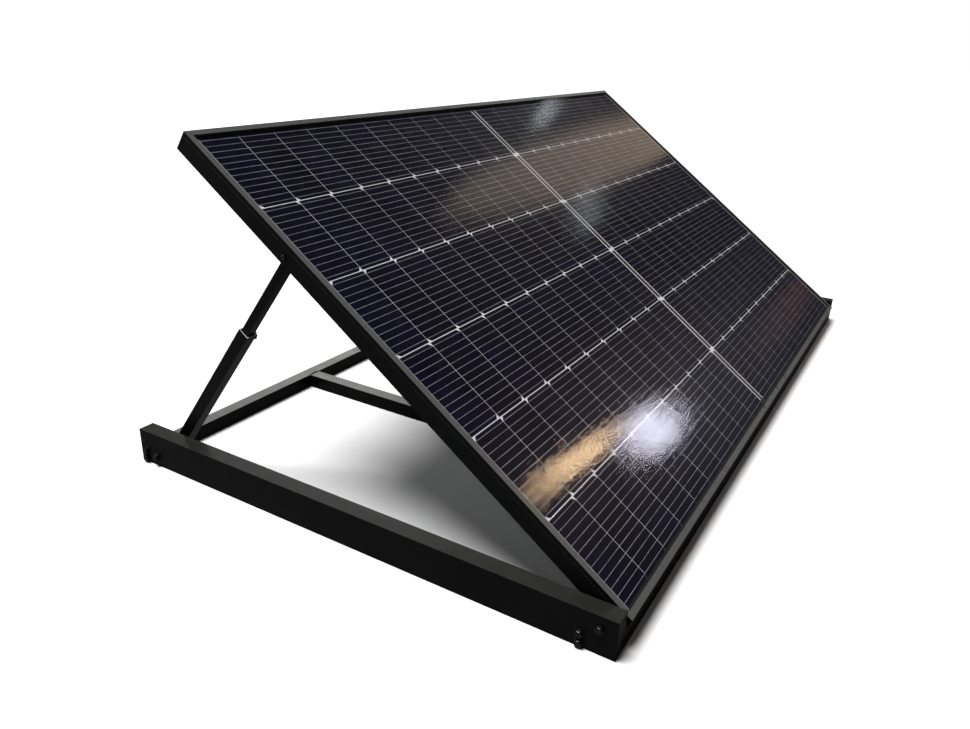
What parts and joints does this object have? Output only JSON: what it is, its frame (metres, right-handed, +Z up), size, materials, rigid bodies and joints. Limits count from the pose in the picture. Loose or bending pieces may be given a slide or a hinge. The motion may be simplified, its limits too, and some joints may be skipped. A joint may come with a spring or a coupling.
{
  "type": "solar panel on tilting ground stand",
  "caption": "Framed glass solar module hinged at its low edge in a low rail stand and propped at an angle by a telescopic strut at each side.",
  "frame": {"origin": "on the floor under the centre of the object's overall box", "axes": "+X along the module's long side to the right seen from the glass side, +Y from the module's low front edge to the back, +Z up"},
  "size_m": [1.9948, 1.123, 0.714],
  "materials": {
    "module_frame": "dark anodised, satin",
    "bare_aluminium": "mill finish",
    "front_glass": "lightly textured solar glass",
    "encapsulant": "clear, laminated",
    "cell_silicon": "dark blue-black, anti-reflective",
    "tinned_ribbon": "tinned copper",
    "backsheet": "white film",
    "edge_seal": "black sealant",
    "box_plastic": "moulded black",
    "copper": "bare copper",
    "diode": "moulded black",
    "stand_metal": "dark coating, satin",
    "strut_metal": "dark anodised",
    "slide_plastic": "black nylon",
    "plain_steel": "zinc plated"
  },
  "bodies": {
    "stand": {"rail_left": "stand_metal", "rail_right": "stand_metal", "rail_end_caps": "stand_metal", "front_beam": "stand_metal", "rear_beam": "stand_metal", "middle_rail_left": "stand_metal", "middle_rail_right": "stand_metal", "front_toe_angle": "stand_metal", "beam_end_plugs": "plain_steel", "beam_bolts": "plain_steel", "beam_washers": "plain_steel", "hinge_bolts": "plain_steel", "hinge_washers": "plain_steel", "hinge_bushes": "slide_plastic", "hinge_nuts": "plain_steel", "foot_bolts": "plain_steel", "foot_washers": "plain_steel", "foot_spacers": "plain_steel", "foot_nuts": "plain_steel"},
    "panel": {"frame_top": "module_frame", "frame_bottom": "module_frame", "frame_left": "module_frame", "frame_right": "module_frame", "corner_keys": "bare_aluminium", "edge_seal": "edge_seal", "front_glass": "front_glass", "front_encapsulant": "encapsulant", "cell_ribbons": "tinned_ribbon", "bus_ribbons": "tinned_ribbon", "solar_cells": "cell_silicon", "rear_encapsulant": "encapsulant", "backsheet": "backsheet", "junction_boxes": "box_plastic", "junction_box_lids": "box_plastic", "box_terminals": "copper", "bypass_diodes": "diode", "cable_glands": "box_plastic", "top_bolts": "plain_steel", "top_spacers": "plain_steel", "top_washers": "plain_steel", "top_nuts": "plain_steel"},
    "strut_lower_left": {"strut_sleeve_left": "strut_metal", "strut_bush_left": "slide_plastic", "lock_boss_left": "plain_steel", "lock_knob_left": "slide_plastic"},
    "strut_upper_left": {"strut_tube_left": "strut_metal", "strut_tail_left": "slide_plastic"},
    "strut_lower_right": {"strut_sleeve_right": "strut_metal", "strut_bush_right": "slide_plastic", "lock_boss_right": "plain_steel", "lock_knob_right": "slide_plastic"},
    "strut_upper_right": {"strut_tube_right": "strut_metal", "strut_tail_right": "slide_plastic"}
  },
  "joints": [
    {"name": "panel_tilt", "type": "hinge", "parent": "stand", "child": "panel", "pos_m": [0, -0.52446, 0.05], "axis": [1, 0, 0], "range_deg": [-7, 3]},
    {"name": "strut_swing_left", "type": "hinge", "parent": "stand", "child": "strut_lower_left", "pos_m": [-0.9275, 0.51354, 0.0205], "axis": [1, 0, 0], "range_deg": [-0.3, 0.65]},
    {"name": "strut_extend_left", "type": "slide", "parent": "strut_lower_left", "child": "strut_upper_left", "axis": [0, -0.6025, 0.7981], "range_m": [-0.1, 0.044]},
    {"name": "strut_swing_right", "type": "hinge", "parent": "stand", "child": "strut_lower_right", "pos_m": [0.9275, 0.51354, 0.0205], "axis": [1, 0, 0], "range_deg": [-0.3, 0.65]},
    {"name": "strut_extend_right", "type": "slide", "parent": "strut_lower_right", "child": "strut_upper_right", "axis": [0, -0.6025, 0.7981], "range_m": [-0.1, 0.044]}
  ],
  "couplings": [
    {"joint": "strut_swing_left", "follows": "panel_tilt", "ratio": -0.08777},
    {"joint": "strut_extend_left", "follows": "panel_tilt", "m_per_rad": 0.80783},
    {"joint": "strut_swing_right", "follows": "panel_tilt", "ratio": -0.08777},
    {"joint": "strut_extend_right", "follows": "panel_tilt", "m_per_rad": 0.80783}
  ]
}
